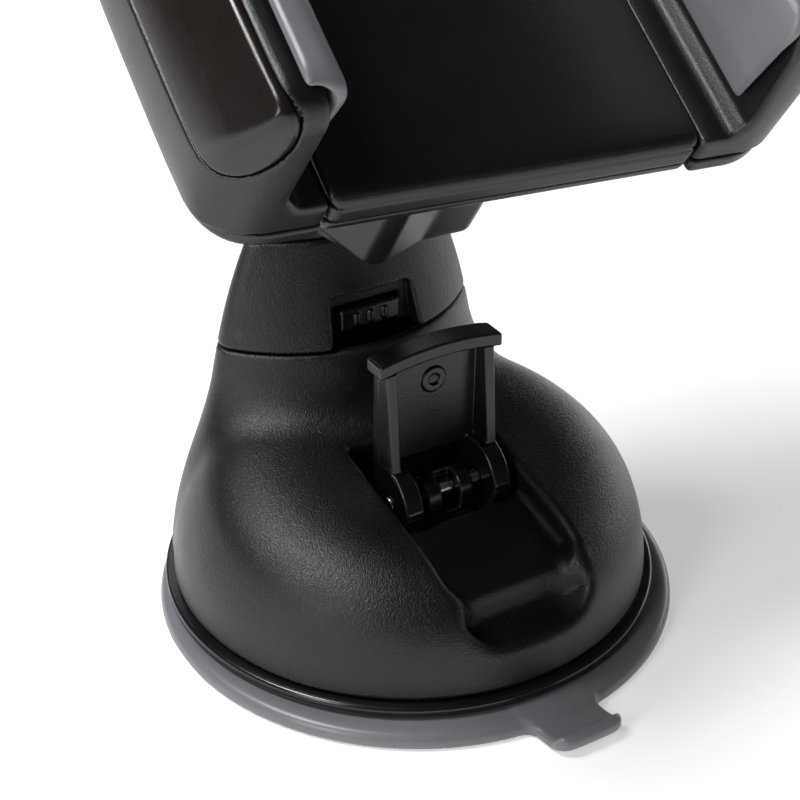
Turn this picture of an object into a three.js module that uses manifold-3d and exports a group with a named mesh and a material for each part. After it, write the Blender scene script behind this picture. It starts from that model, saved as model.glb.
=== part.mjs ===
// A car phone mount: a suction base with a cam lever, an almond-shaped neck with a release button,
// a ball joint with a lobed lock nut, and a cradle whose two sprung arms close on a phone.
// Millimetres. X is to the right, Y to the back and Z up. The origin is the centre of the gel pad's
// underside, and the lever faces the front, -Y. The lever is raised, and the arms are closed.
import * as THREE from "three";
import { mergeVertices } from "three/addons/utils/BufferGeometryUtils.js";
import Module from "manifold-3d";

const wasm = await Module();
wasm.setup();

// ---- driving dimensions ----
const GAP = 0.3; // between pieces that touch
const WALL = 2.0; // housings

const PAD_RADIUS = 40;
const PAD_HEIGHT = 2.6;
const HOUSING_Y = 2; // the housing sits a little behind the pad's centre
const CUP_RADIUS = 38.2;
const CUP_THICKNESS = 1.7;
const DOME_RADIUS = 36.8;
const DOME_HEIGHT = 31;
const DOME_POWER = 2.6;
const RIM_Z = PAD_HEIGHT + GAP + CUP_THICKNESS + GAP; // the housing's lower edge

const SLOPE_Z = 26.8; // the dome's sloping top at Y = 0
const SLOPE = 0.22; // its rise towards the back
const SLOPE_BLEND = 7;
const NECK_BLEND = 6;

const SEAM_Z = 38.3; // the collar's lower edge
const NECK_Y = 21.6;
const NECK_HALF_WIDTH = 22.6;
const NECK_HALF_DEPTH = 11.7;
const NECK_WIDTH_TAPER = 0.2;
const NECK_WIDTH_CURVE = 0.007;
const NECK_DEPTH_TAPER = 0.33;
const NECK_FLARE = 4.4; // how much deeper the neck gets at most, below the collar
const COLLAR_TOP = 54.5;
const BUTTON_Z = [39.7, 43.3];
const BUTTON_HALF = 5.2;
const BUTTON_FACE_Y = 13.3;
const TONGUE_HALF = 7; // the tongue of the housing that the collar slides onto
const TONGUE_Y = [21.5, 26.5];
const LATCH_Z = [41.7, 44.3];

const POCKET_HALF = 10.8;
const POCKET_BACK = 2.5;
const WELL_FRONT = -12.5;
const FLOOR_BACK_Z = 20;
const STEP_Y = -27;
const STEP_Z = 16.5;
const NOTCH_Z = 12;

const PIN_Y = -7.3;
const PIN_Z = 21.8;
const PIN_RADIUS = 1.25;
const LEVER_HALF = 9.1;
const LIP_HALF = 10.4;
const LEVER_LENGTH = 24.5; // hinge pin to tip
const LEVER_SWING = THREE.MathUtils.degToRad(104);
const CAM_RADIUS = 4.0;
const CAM_LIFT = 1.5; // how far the closing lever draws the stem up
const STEM_HALF = 4.1;

const BALL = new THREE.Vector3(0, 12, 70);
const BALL_RADIUS = 8.5;
const STUD_LEAN = THREE.MathUtils.degToRad(28);
const STUD_RADIUS = 4.2;

const CRADLE_LEAN = THREE.MathUtils.degToRad(33); // from lying flat
const CRADLE_TURN = THREE.MathUtils.degToRad(3); // about the upright
const CRADLE_ROLL = THREE.MathUtils.degToRad(-6.3); // turned in its own plane
const FACE_RISE = 31.4; // from the ball's centre to the cradle's face
const FACE_DROP = 27; // from the ball's axis to near the cradle's lower edge
const BODY_HALF = 27;
const BODY_HEIGHT = 66;
const FRONT_DEPTH = 4.6;
const BODY_DEPTH = 7.2; // at the edges
const PLATEAU_DEPTH = 8.8; // over the gears
const BODY_EDGE = 4;
const ARM_START = BODY_HALF + GAP;
const ARM_LENGTH = 58;
const ARM_TRAVEL = 14;

const PINION_V = 32;
const PINION_TEETH = 10;
const PITCH_RADIUS = 5;
const GEAR_LOW = -6.1;
const GEAR_HIGH = -3.3;
const GEAR_FLOOR = GEAR_LOW - GAP;

// ---- solids ----
// A closed three.js geometry as a solid with its faces outwards.
function solid(geometry) {
  const bare = geometry.clone();
  for (const name of Object.keys(bare.attributes)) {
    if (name !== "position") bare.deleteAttribute(name);
  }
  const merged = mergeVertices(bare, 1e-4);
  const corners = Array.from(merged.index.array);
  const kept = [];
  for (let i = 0; i < corners.length; i += 3) {
    const [a, b, c] = corners.slice(i, i + 3);
    if (a !== b && b !== c && c !== a) kept.push(a, b, c);
  }
  const make = (triangles) =>
    new wasm.Manifold(
      new wasm.Mesh({
        numProp: 3,
        vertProperties: merged.attributes.position.array,
        triVerts: new Uint32Array(triangles),
      }),
    );
  const made = make(kept);
  return made.volume() < 0 ? make(kept.reverse()) : made;
}

function block(x0, x1, y0, y1, z0, z1) {
  const box = new THREE.BoxGeometry(x1 - x0, y1 - y0, z1 - z0);
  return solid(box.translate((x0 + x1) / 2, (y0 + y1) / 2, (z0 + z1) / 2));
}

function rod(radius, from, to, sides = 24) {
  const start = new THREE.Vector3(...from);
  const along = new THREE.Vector3(...to).sub(start);
  const cylinder = new THREE.CylinderGeometry(radius, radius, along.length(), sides);
  cylinder.translate(0, along.length() / 2, 0);
  const up = new THREE.Vector3(0, 1, 0);
  const turn = new THREE.Quaternion().setFromUnitVectors(up, along.clone().normalize());
  return solid(cylinder.applyQuaternion(turn).translate(start.x, start.y, start.z));
}

// A turned piece about an upright axis through (x, y), from its outline of [radius, height] points.
function turned(outline, x = 0, y = 0, sides = 48) {
  const points = outline.map(([r, z]) => new THREE.Vector2(r, z));
  const lathe = new THREE.LatheGeometry(points, sides);
  return solid(lathe.rotateX(Math.PI / 2).translate(x, y, 0));
}

function ringOutline(inner, outer, low, high, bevel = 0) {
  return [
    [inner, low],
    [outer - bevel, low],
    [outer, low + bevel],
    [outer, high - bevel],
    [outer - bevel, high],
    [inner, high],
    [inner, low],
  ].filter(([r, z], i, all) => i === 0 || r !== all[i - 1][0] || z !== all[i - 1][1]);
}

function shapeOf(points) {
  return new THREE.Shape(points.map(([x, y]) => new THREE.Vector2(x, y)));
}

// A shape in X and Y, raised from z = low to z = high.
function raised(shape, low, high, curveSegments = 8) {
  const options = { depth: high - low, bevelEnabled: false, curveSegments };
  return solid(new THREE.ExtrudeGeometry(shape, options).translate(0, 0, low));
}

// A shape drawn in Y and Z, drawn out along X.
function acrossX(shape, low, high) {
  const options = { depth: high - low, bevelEnabled: false, curveSegments: 8 };
  const geometry = new THREE.ExtrudeGeometry(shape, options).translate(0, 0, low);
  const axes = new THREE.Matrix4().makeBasis(
    new THREE.Vector3(0, 1, 0),
    new THREE.Vector3(0, 0, 1),
    new THREE.Vector3(1, 0, 0),
  );
  return solid(geometry.applyMatrix4(axes));
}

// A shape drawn in X and Z, drawn out along Y.
function alongY(shape, low, high) {
  const options = { depth: high - low, bevelEnabled: false, curveSegments: 8 };
  const geometry = new THREE.ExtrudeGeometry(shape, options).translate(0, 0, low);
  const axes = new THREE.Matrix4().makeBasis(
    new THREE.Vector3(1, 0, 0),
    new THREE.Vector3(0, 0, 1),
    new THREE.Vector3(0, 1, 0),
  );
  return solid(geometry.applyMatrix4(axes));
}

// A closed surface through rings of points, each ring with the same number of points.
function lofted(rings) {
  const count = rings[0].length;
  const positions = [];
  const push = (...points) => points.forEach((p) => positions.push(p.x, p.y, p.z));
  const middle = (ring) =>
    ring.reduce((sum, p) => sum.add(p), new THREE.Vector3()).divideScalar(count);
  for (let j = 0; j + 1 < rings.length; j++) {
    for (let i = 0; i < count; i++) {
      const k = (i + 1) % count;
      push(rings[j][i], rings[j][k], rings[j + 1][k]);
      push(rings[j][i], rings[j + 1][k], rings[j + 1][i]);
    }
  }
  const first = rings[0];
  const last = rings[rings.length - 1];
  for (let i = 0; i < count; i++) {
    const k = (i + 1) % count;
    push(middle(first), first[k], first[i]);
    push(middle(last), last[i], last[k]);
  }
  const geometry = new THREE.BufferGeometry();
  geometry.setAttribute("position", new THREE.Float32BufferAttribute(positions, 3));
  return solid(geometry);
}

function joined(...solids) {
  return solids.reduce((all, next) => all.add(next));
}

function cut(from, ...solids) {
  return solids.reduce((left, next) => left.subtract(next), from);
}

// ---- named pieces ----
const LOOKS = {
  blackPlastic: { color: 0x151518, roughness: 0.42, metalness: 0 },
  glossPlastic: { color: 0x1c1613, roughness: 0.12, metalness: 0 },
  blackRubber: { color: 0x0c0c0e, roughness: 0.25, metalness: 0 },
  greyGel: { color: 0x6f727a, roughness: 0.35, metalness: 0 },
  palePlastic: { color: 0xb9bcc4, roughness: 0.4, metalness: 0 },
  steel: { color: 0xb8babd, roughness: 0.25, metalness: 1 },
};

function geometryOf(made) {
  const out = made.getMesh();
  const geometry = new THREE.BufferGeometry();
  const positions = new Float32Array(out.numVert * 3);
  for (let i = 0; i < out.numVert; i++) {
    const start = i * out.numProp;
    positions.set(out.vertProperties.subarray(start, start + 3), i * 3);
  }
  geometry.setAttribute("position", new THREE.BufferAttribute(positions, 3));
  geometry.setIndex(new THREE.BufferAttribute(new Uint32Array(out.triVerts), 1));
  return geometry;
}

function placed(made, matrix) {
  return solid(geometryOf(made).applyMatrix4(matrix));
}

function piece(group, name, made, look) {
  const geometry = geometryOf(made);
  geometry.computeVertexNormals();
  const mesh = new THREE.Mesh(geometry, new THREE.MeshStandardMaterial(LOOKS[look]));
  mesh.name = name;
  group.add(mesh);
  return mesh;
}

// ---- the housing's outer form ----
function smoothMin(a, b, blend) {
  const near = Math.max(blend - Math.abs(a - b), 0) / blend;
  return Math.min(a, b) - (near * near * blend) / 4;
}

function smoothMax(a, b, blend) {
  return -smoothMin(-a, -b, blend);
}

function neckHalfWidth(z) {
  const up = z - SEAM_Z;
  const curve = up > 0 ? NECK_WIDTH_CURVE * up * up : 0;
  return NECK_HALF_WIDTH - NECK_WIDTH_TAPER * up - curve;
}

function neckHalfDepth(z) {
  const up = z - SEAM_Z;
  if (up > 0) return NECK_HALF_DEPTH - NECK_DEPTH_TAPER * up;
  return NECK_HALF_DEPTH + NECK_FLARE * (1 - Math.exp((NECK_DEPTH_TAPER * up) / NECK_FLARE));
}

// Signed distances, negative inside the material.
function neckField(p) {
  const width = neckHalfWidth(p.z);
  const depth = neckHalfDepth(p.z);
  const radius = (width * width + depth * depth) / (2 * depth);
  const front = Math.hypot(p.x, p.y - NECK_Y - radius + depth) - radius;
  const back = Math.hypot(p.x, p.y - NECK_Y + radius - depth) - radius;
  return smoothMax(front, back, 3);
}

function domeField(p) {
  const r = Math.hypot(p.x, p.y - HOUSING_Y) / DOME_RADIUS;
  const h = Math.max(p.z - RIM_Z, 0) / DOME_HEIGHT;
  const level = Math.pow(r, DOME_POWER) + h * h - 1;
  const steepR = (DOME_POWER * Math.pow(r, DOME_POWER - 1)) / DOME_RADIUS;
  const steepness = Math.hypot(steepR, (2 * h) / DOME_HEIGHT);
  return level / Math.max(steepness, 0.02);
}

function slopeField(p) {
  return (p.z - SLOPE_Z - SLOPE * p.y) / Math.hypot(1, SLOPE);
}

function housingField(p) {
  const dome = smoothMax(domeField(p), slopeField(p), SLOPE_BLEND);
  return smoothMin(dome, neckField(p), NECK_BLEND);
}

// The last value from "from" towards "to" that still passes the test.
function furthest(test, from, to) {
  for (let i = 0; i < 40; i++) {
    const mid = (from + to) / 2;
    if (test(mid)) from = mid;
    else to = mid;
  }
  return from;
}

// The body inside field < -inset between two levels, found along rays from the neck's axis.
function cast(field, inset, low, high, columns, rows) {
  const eye = new THREE.Vector3(0, 14, low);
  const point = new THREE.Vector3();
  const inside = (r, turn, rise) => {
    point.set(Math.cos(turn) * Math.cos(rise), Math.sin(turn) * Math.cos(rise), Math.sin(rise));
    return field(point.multiplyScalar(r).add(eye)) < -inset;
  };
  const rings = Array.from({ length: rows + 1 }, () => []);
  for (let i = 0; i < columns; i++) {
    const turn = (2 * Math.PI * i) / columns;
    const topRise = Math.PI / 2 - furthest((lean) => {
      const rise = Math.PI / 2 - lean;
      return inside((high - low) / Math.sin(rise), turn, rise);
    }, 0, 1.4);
    for (let j = 0; j <= rows; j++) {
      const rise = topRise * (j / rows);
      const r = furthest((reach) => inside(reach, turn, rise), 0, 90);
      inside(r, turn, rise);
      const ringPoint = point.clone();
      if (j === 0) ringPoint.z = low;
      if (j === rows) ringPoint.z = high;
      rings[j].push(ringPoint);
    }
  }
  return lofted(rings);
}

// One ring of the almond-shaped neck section at height z, inset all round.
function neckRing(z, inset = 0, count = 32) {
  return Array.from({ length: count }, (_, i) => {
    const turn = (2 * Math.PI * i) / count;
    const at = (r) => new THREE.Vector3(r * Math.cos(turn), NECK_Y + r * Math.sin(turn), z);
    return at(furthest((r) => neckField(at(r)) < -inset, 0, 40));
  });
}

// ---- base ----
const mount = new THREE.Group();
const base = new THREE.Group();
mount.add(base);

function gelPad() {
  const disc = turned([
    [0, 0],
    [PAD_RADIUS - 0.6, 0],
    [PAD_RADIUS, 0.6],
    [PAD_RADIUS, PAD_HEIGHT - 1],
    [PAD_RADIUS - 1, PAD_HEIGHT - 0.1],
    [PAD_RADIUS - 2, PAD_HEIGHT],
    [0, PAD_HEIGHT],
  ]);
  const side = shapeOf([
    [-37, 0],
    [-43, 0],
    [-46.5, 1.1],
    [-46.5, 3.3],
    [-44.6, 2.4],
    [-42, 1.9],
    [-37, 1.9],
  ]);
  const plan = new THREE.Shape();
  plan.moveTo(-5.2, -36);
  plan.lineTo(-4.4, -43);
  plan.absarc(-1.4, -43.5, 3, Math.PI, 1.5 * Math.PI, false);
  plan.lineTo(4.2, -46.5);
  plan.absarc(4.2, -44, 2.5, 1.5 * Math.PI, 2 * Math.PI, false);
  plan.lineTo(5, -36);
  const tab = acrossX(side, -7, 8).intersect(raised(plan, -1, 5));
  return joined(disc, tab);
}

const CUP_LOW = PAD_HEIGHT + GAP;
const CUP_HIGH = CUP_LOW + CUP_THICKNESS;
const STEM_DISC_Y = -2;
const STEM_DISC_RADIUS = 13;
const CUP_HOLE_RADIUS = 18;

function suctionCup() {
  const outline = ringOutline(CUP_HOLE_RADIUS, CUP_RADIUS, CUP_LOW, CUP_HIGH, 0.5);
  return turned(outline, 0, HOUSING_Y);
}

const STEM_SLOT_HALF = STEM_HALF + 0.5;
const SEAT_Z = PIN_Z - CAM_RADIUS - GAP; // what the cams bear on
const FRAME_LOW = CUP_HIGH + 0.6;
const FRAME_HIGH = FRAME_LOW + 2.6;
const FRAME_RADIUS = 33.8;
const BRIDGE_LOW = 7.4;
const BRIDGE_HIGH = 10;
const SCREW_CIRCLE = 28.5;
const SCREW_TURNS = [30, 150, 270].map(THREE.MathUtils.degToRad);

function screwPlace(turn) {
  return [SCREW_CIRCLE * Math.cos(turn), HOUSING_Y + SCREW_CIRCLE * Math.sin(turn)];
}

// The ring that presses the cup's edge down, with a bridge that carries the two cam seats.
function baseFrame() {
  const ring = turned(ringOutline(22, FRAME_RADIUS, FRAME_LOW, FRAME_HIGH, 0.5), 0, HOUSING_Y, 48);
  const bridge = block(-26, 26, PIN_Y - 7.5, PIN_Y + 7.5, BRIDGE_LOW - 1, BRIDGE_HIGH);
  const reach = turned([[0, 0], [30, 0], [30, 20], [0, 20]], 0, HOUSING_Y, 48);
  const slot = block(-STEM_SLOT_HALF, STEM_SLOT_HALF, PIN_Y - 4, PIN_Y + 4, 0, 30);
  const seats = [-1, 1].map((side) => {
    const [x0, x1] = [side * 5.2, side * 9].sort((a, b) => a - b);
    return block(x0, x1, PIN_Y - 5, PIN_Y + 5, BRIDGE_LOW, SEAT_Z);
  });
  const holes = SCREW_TURNS.map((turn) => {
    const [x, y] = screwPlace(turn);
    return rod(1.5, [x, y, 0], [x, y, 20], 16);
  });
  return cut(joined(ring, bridge.intersect(reach), ...seats), slot, ...holes);
}

function baseScrew(turn) {
  const [x, y] = screwPlace(turn);
  const head = rod(2.6, [x, y, FRAME_HIGH + GAP], [x, y, FRAME_HIGH + GAP + 1.4], 16);
  const shank = rod(1.2, [x, y, FRAME_LOW + 0.3], [x, y, FRAME_HIGH + 1], 12);
  return joined(head, shank);
}

function pocketVoid() {
  const floor = shapeOf([
    [POCKET_BACK, 50],
    [POCKET_BACK, FLOOR_BACK_Z],
    [WELL_FRONT, FLOOR_BACK_Z],
    [STEP_Y + 1, STEP_Z + 0.4],
    [STEP_Y, STEP_Z - 0.6],
    [STEP_Y - 0.6, NOTCH_Z + 0.8],
    [STEP_Y - 1.6, NOTCH_Z],
    [-60, NOTCH_Z - 3],
    [-60, 50],
  ]);
  return acrossX(floor, -POCKET_HALF, POCKET_HALF);
}

function baseCover() {
  const outer = cast(housingField, 0, RIM_Z, SEAM_Z - GAP, 52, 12);
  const inner = cast(housingField, WALL, RIM_Z - 1, SEAM_Z - GAP - WALL, 32, 6);
  const hollow = inner.intersect(block(-60, 60, -60, 60, RIM_Z - 1, 60));
  const half = POCKET_HALF + WALL * 0.8;
  const tub = joined(
    block(-half, half, -60, POCKET_BACK + WALL, NOTCH_Z - 2, 60),
    block(-half, half, WELL_FRONT - WALL, POCKET_BACK + WALL, BRIDGE_HIGH + GAP, 60),
  );
  const well = block(-POCKET_HALF + 1, POCKET_HALF - 1, WELL_FRONT, POCKET_BACK, 5, 60);
  const bosses = SCREW_TURNS.map((turn) => {
    const [x, y] = screwPlace(turn);
    return rod(3.4, [x, y, FRAME_HIGH + 2.2], [x, y, 60], 16);
  });
  const shell = cut(outer, hollow);
  const inside = joined(tub, ...bosses).intersect(outer);
  const [front, back] = TONGUE_Y;
  const tongue = cut(
    block(-TONGUE_HALF, TONGUE_HALF, front, back, SEAM_Z - WALL, 47.5),
    block(-TONGUE_HALF - 1, TONGUE_HALF + 1, back - 1.5, back + 1, ...LATCH_Z),
  );
  return cut(joined(shell, inside, tongue), pocketVoid(), well);
}

// Drawn round the hinge pin: [toward the back, up].
function camOutline() {
  const points = [];
  const steps = 14;
  for (let i = 0; i <= steps; i++) {
    const turn = (LEVER_SWING * i) / steps;
    const radius = CAM_RADIUS + (CAM_LIFT * i) / steps;
    points.push([-radius * Math.sin(turn), -radius * Math.cos(turn)]);
  }
  points.push([-3.9, 4], [-1, 6], [3.9, 6], [4.4, 3]);
  for (let i = 0; i < 4; i++) {
    const turn = ((90 - 22.5 * i) * Math.PI) / 180;
    points.push([CAM_RADIUS * Math.sin(turn), -CAM_RADIUS * Math.cos(turn)]);
  }
  return points.map(([y, z]) => [y + PIN_Y, z + PIN_Z]);
}

function lockLever() {
  const at = (points) => shapeOf(points.map(([y, z]) => [y + PIN_Y, z + PIN_Z]));
  const lipLow = LEVER_LENGTH - 3.2;
  const sideWall = at([
    [-1, 5],
    [0.6, LEVER_LENGTH - 1],
    [4.3, LEVER_LENGTH - 1],
    [4.6, 5],
  ]);
  const plate = at([
    [2.9, 5],
    [2.6, LEVER_LENGTH],
    [4.2, LEVER_LENGTH],
    [4.6, 5],
  ]);
  const lip = at([
    [0.1, lipLow],
    [0.1, LEVER_LENGTH],
    [4.2, LEVER_LENGTH],
    [4.26, lipLow],
  ]);
  const cam = shapeOf(camOutline());
  const sides = [-1, 1].flatMap((side) => {
    const span = (a, b) => [side * a, side * b].sort((p, q) => p - q);
    return [
      acrossX(sideWall, ...span(LEVER_HALF - 2.2, LEVER_HALF)),
      acrossX(cam, ...span(5.4, LEVER_HALF)),
    ];
  });
  const body = joined(
    acrossX(plate, -LEVER_HALF, LEVER_HALF),
    acrossX(lip, -LIP_HALF, LIP_HALF),
    ...sides,
  );
  const crown = new THREE.Shape();
  crown.moveTo(-12, 0);
  crown.lineTo(12, 0);
  crown.lineTo(12, PIN_Z + LEVER_LENGTH - 1.6);
  crown.quadraticCurveTo(0, PIN_Z + LEVER_LENGTH + 1.4, -12, PIN_Z + LEVER_LENGTH - 1.6);
  const ejectorRing = cut(
    rod(2, [0, PIN_Y + 2, PIN_Z + 17.5], [0, PIN_Y + 3.2, PIN_Z + 17.5]),
    rod(1.2, [0, PIN_Y + 1, PIN_Z + 17.5], [0, PIN_Y + 3, PIN_Z + 17.5]),
  );
  const bore = rod(PIN_RADIUS + 0.15, [-20, PIN_Y, PIN_Z], [20, PIN_Y, PIN_Z]);
  return cut(joined(body, ejectorRing).intersect(alongY(crown, -20, 20)), bore);
}

function pullStem() {
  const disc = turned(
    [[0, CUP_LOW], [STEM_DISC_RADIUS, CUP_LOW], [STEM_DISC_RADIUS, CUP_HIGH], [0, CUP_HIGH]],
    0,
    STEM_DISC_Y,
    40,
  );
  const outline = new THREE.Shape();
  outline.moveTo(PIN_Y - 3.4, CUP_LOW + 0.5);
  outline.lineTo(PIN_Y + 3.4, CUP_LOW + 0.5);
  outline.lineTo(PIN_Y + 3, PIN_Z);
  outline.absarc(PIN_Y, PIN_Z, 3, 0, Math.PI, false);
  const post = acrossX(outline, -STEM_HALF, STEM_HALF);
  const bore = rod(PIN_RADIUS + 0.1, [-9, PIN_Y, PIN_Z], [9, PIN_Y, PIN_Z]);
  return cut(joined(disc, post), bore);
}

function stemPin() {
  const half = LEVER_HALF + 0.3;
  return rod(PIN_RADIUS, [-half, PIN_Y, PIN_Z], [half, PIN_Y, PIN_Z]);
}

piece(base, "gel_pad", gelPad(), "greyGel");
piece(base, "suction_cup", suctionCup(), "blackRubber");
piece(base, "base_frame", baseFrame(), "blackPlastic");
piece(base, "base_cover", baseCover(), "blackPlastic");
SCREW_TURNS.forEach((turn, i) => {
  piece(base, `base_screw_${i + 1}`, baseScrew(turn), "steel");
});
piece(base, "pull_stem", pullStem(), "blackPlastic");
piece(base, "stem_pin", stemPin(), "steel");
piece(base, "lock_lever", lockLever(), "blackPlastic");

// ---- collar ----
function releaseButton() {
  const [low, high] = BUTTON_Z;
  const [latchLow, latchHigh] = LATCH_Z;
  const back = TONGUE_Y[1];
  const face = block(-BUTTON_HALF, BUTTON_HALF, BUTTON_FACE_Y, 18, low, high);
  const ribs = [-2.4, 0, 2.4].map((x) =>
    block(x - 0.5, x + 0.5, BUTTON_FACE_Y - 0.4, BUTTON_FACE_Y + 1, low + 0.8, high - 0.8),
  );
  const flange = block(-8.8, 8.8, 17.2, 18.5, low - 0.6, high + 0.7);
  const hooks = [-1, 1].flatMap((side) => {
    const span = (a, b) => [side * a, side * b].sort((p, q) => p - q);
    return [
      block(...span(TONGUE_HALF + 0.6, 8.8), 17.2, back - 0.1, latchLow + 0.3, latchHigh - 0.3),
      block(...span(4.5, 8.8), back - 1.2, back - 0.1, latchLow + 0.3, latchHigh - 0.3),
    ];
  });
  return joined(face, ...ribs, flange, ...hooks);
}

function collar() {
  const levels = [SEAM_Z, 42, 46, 50.5, COLLAR_TOP];
  const outer = lofted(levels.map((z) => neckRing(z)));
  const inner = lofted([SEAM_Z - 1, 48, COLLAR_TOP + 1].map((z) => neckRing(z, WALL)));
  const recess = new THREE.Shape();
  recess.moveTo(-7.6, SEAM_Z - 1);
  recess.lineTo(7.6, SEAM_Z - 1);
  recess.lineTo(6.9, 44.6);
  recess.quadraticCurveTo(6.7, 46, 5.3, 46);
  recess.lineTo(-5.3, 46);
  recess.quadraticCurveTo(-6.7, 46, -6.9, 44.6);
  const recessFloor = 14.6;
  const around = block(-10, 10, 12, recessFloor + 1.8, SEAM_Z, 48).intersect(outer);
  const window = block(-BUTTON_HALF - 0.3, BUTTON_HALF + 0.3, 0, 18, SEAM_Z - 1, BUTTON_Z[1] + 0.3);
  return cut(joined(cut(outer, inner), around), alongY(recess, 0, recessFloor), window);
}

function coil(radius, wire, length, turns, stepsPerTurn) {
  class Helix extends THREE.Curve {
    getPoint(t, target = new THREE.Vector3()) {
      const turn = 2 * Math.PI * turns * t;
      return target.set(radius * Math.cos(turn), radius * Math.sin(turn), length * t);
    }
  }
  const section = shapeOf([[-wire, -wire], [wire, -wire], [wire, wire], [-wire, wire]]);
  return solid(new THREE.ExtrudeGeometry(section, {
    steps: turns * stepsPerTurn,
    bevelEnabled: false,
    extrudePath: new Helix(),
  }));
}

function buttonSpring() {
  const start = 18.5 + GAP + 0.4;
  const length = TONGUE_Y[0] - GAP - 0.4 - start;
  const turn = new THREE.Matrix4().makeRotationX(-Math.PI / 2);
  turn.setPosition(0, start, (BUTTON_Z[0] + BUTTON_Z[1]) / 2);
  return placed(coil(1.6, 0.2, length, 2, 8), turn);
}

// ---- ball stud ----
// The stud's own frame: its axis is local Z, with the ball's centre at the origin.
const studFrame = new THREE.Matrix4().makeRotationX(STUD_LEAN).setPosition(BALL);
const SHAFT_END = -15;

function ballStud() {
  const ball = [];
  const steps = 9;
  const neckTurn = Math.asin(STUD_RADIUS / BALL_RADIUS);
  for (let i = 0; i <= steps; i++) {
    const turn = neckTurn + ((Math.PI - neckTurn) * i) / steps;
    ball.push([i === steps ? 0 : BALL_RADIUS * Math.sin(turn), -BALL_RADIUS * Math.cos(turn)]);
  }
  const outline = [
    [0, SHAFT_END + 4],
    [1.5, SHAFT_END + 4],
    [1.5, SHAFT_END],
    [3.6, SHAFT_END],
    [3.6, -10.8],
    [STUD_RADIUS, -10.2],
    ...ball,
  ];
  return placed(turned(outline, 0, 0, 24), studFrame);
}

function neckCap() {
  const circle = (radius, along, count = 32) =>
    Array.from({ length: count }, (_, i) => {
      const turn = (2 * Math.PI * i) / count;
      const point = new THREE.Vector3(radius * Math.cos(turn), radius * Math.sin(turn), along);
      return point.applyMatrix4(studFrame);
    });
  const low = COLLAR_TOP + GAP;
  const body = lofted([
    neckRing(low),
    neckRing(low + 1.2, 0.6),
    circle(8.6, -13.4),
    circle(7.2, -12),
    circle(6.2, -11.4),
  ]);
  const plug = lofted([neckRing(low - 2.4, WALL + 0.4), neckRing(low + 0.4, WALL + 0.4)]);
  const bore = placed(rod(3.9, [0, 0, -30], [0, 0, 0], 20), studFrame);
  return cut(joined(body, plug), bore);
}

function studScrew() {
  const head = rod(2.7, [0, 0, SHAFT_END - 1.9], [0, 0, SHAFT_END - 0.5], 20);
  const shank = rod(1.2, [0, 0, SHAFT_END - 1], [0, 0, SHAFT_END + 3.4], 12);
  return placed(joined(head, shank), studFrame);
}

piece(base, "collar", collar(), "blackPlastic");
piece(base, "release_button", releaseButton(), "blackPlastic");
piece(base, "button_spring", buttonSpring(), "steel");
piece(base, "neck_cap", neckCap(), "blackPlastic");
piece(base, "stud_screw", studScrew(), "steel");
piece(base, "ball_stud", ballStud(), "blackPlastic");

// ---- cradle ----
// Its own frame: local X across, local Y up along the face from near its lower edge, and local Z out
// of the face, which is at z = 0. The ball's centre is behind it.
const cradle = new THREE.Group();
cradle.matrixAutoUpdate = false;
cradle.matrix
  .makeRotationZ(CRADLE_TURN)
  .multiply(new THREE.Matrix4().makeRotationX(CRADLE_LEAN))
  .multiply(new THREE.Matrix4().makeRotationZ(CRADLE_ROLL))
  .setPosition(BALL)
  .multiply(new THREE.Matrix4().makeTranslation(0, -FACE_DROP, FACE_RISE));
mount.add(cradle);
const BALL_Z = -FACE_RISE;
const about = (outline, sides = 32) =>
  turned(outline.map(([r, z]) => [r, z + BALL_Z]), 0, FACE_DROP, sides);

function socketLiner() {
  const inner = BALL_RADIUS + GAP;
  const steps = 6;
  const outline = [[10.2, -3.6], [10.2, 9.2]];
  const angleTo = -Math.asin(3.6 / inner);
  const angleFrom = Math.PI / 2 - Math.asin(4 / inner);
  outline.push([inner * Math.cos(angleFrom), 9.2]);
  for (let i = 0; i <= steps; i++) {
    const turn = angleFrom + ((angleTo - angleFrom) * i) / steps;
    outline.push([inner * Math.cos(turn), inner * Math.sin(turn)]);
  }
  outline.push(outline[0]);
  const slit = block(-0.6, 0.6, FACE_DROP, FACE_DROP + 12, BALL_Z - 5, BALL_Z + 5);
  return cut(about(outline, 24), slit);
}

function lockNut() {
  const lobes = 6;
  const count = 48;
  const ring = (inset, z) =>
    Array.from({ length: count }, (_, i) => {
      const turn = (2 * Math.PI * i) / count;
      const radius = 17 + 0.9 * Math.cos(lobes * (turn + 1.9)) - inset;
      return new THREE.Vector3(
        radius * Math.cos(turn),
        FACE_DROP + radius * Math.sin(turn),
        BALL_Z + z,
      );
    });
  const body = lofted([ring(1.8, -5.5), ring(0.6, -5), ring(0, -3.8), ring(0.3, 10.6), ring(1.5, 12)]);
  const bore = about([[0, -4], [12.8, -4], [12.8, 14], [0, 14]]);
  const mouth = about([[0, -7], [10.4, -7], [10.4, -3], [0, -3]], 32);
  return cut(body, bore, mouth);
}

function roundedPlan(half, low, high, radius) {
  const shape = new THREE.Shape();
  shape.moveTo(-half + radius, low);
  shape.lineTo(half - radius, low);
  shape.quadraticCurveTo(half, low, half, low + radius);
  shape.lineTo(half, high - radius);
  shape.quadraticCurveTo(half, high, half - radius, high);
  shape.lineTo(-half + radius, high);
  shape.quadraticCurveTo(-half, high, -half, high - radius);
  shape.lineTo(-half, low + radius);
  shape.quadraticCurveTo(-half, low, -half + radius, low);
  return shape;
}

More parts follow.
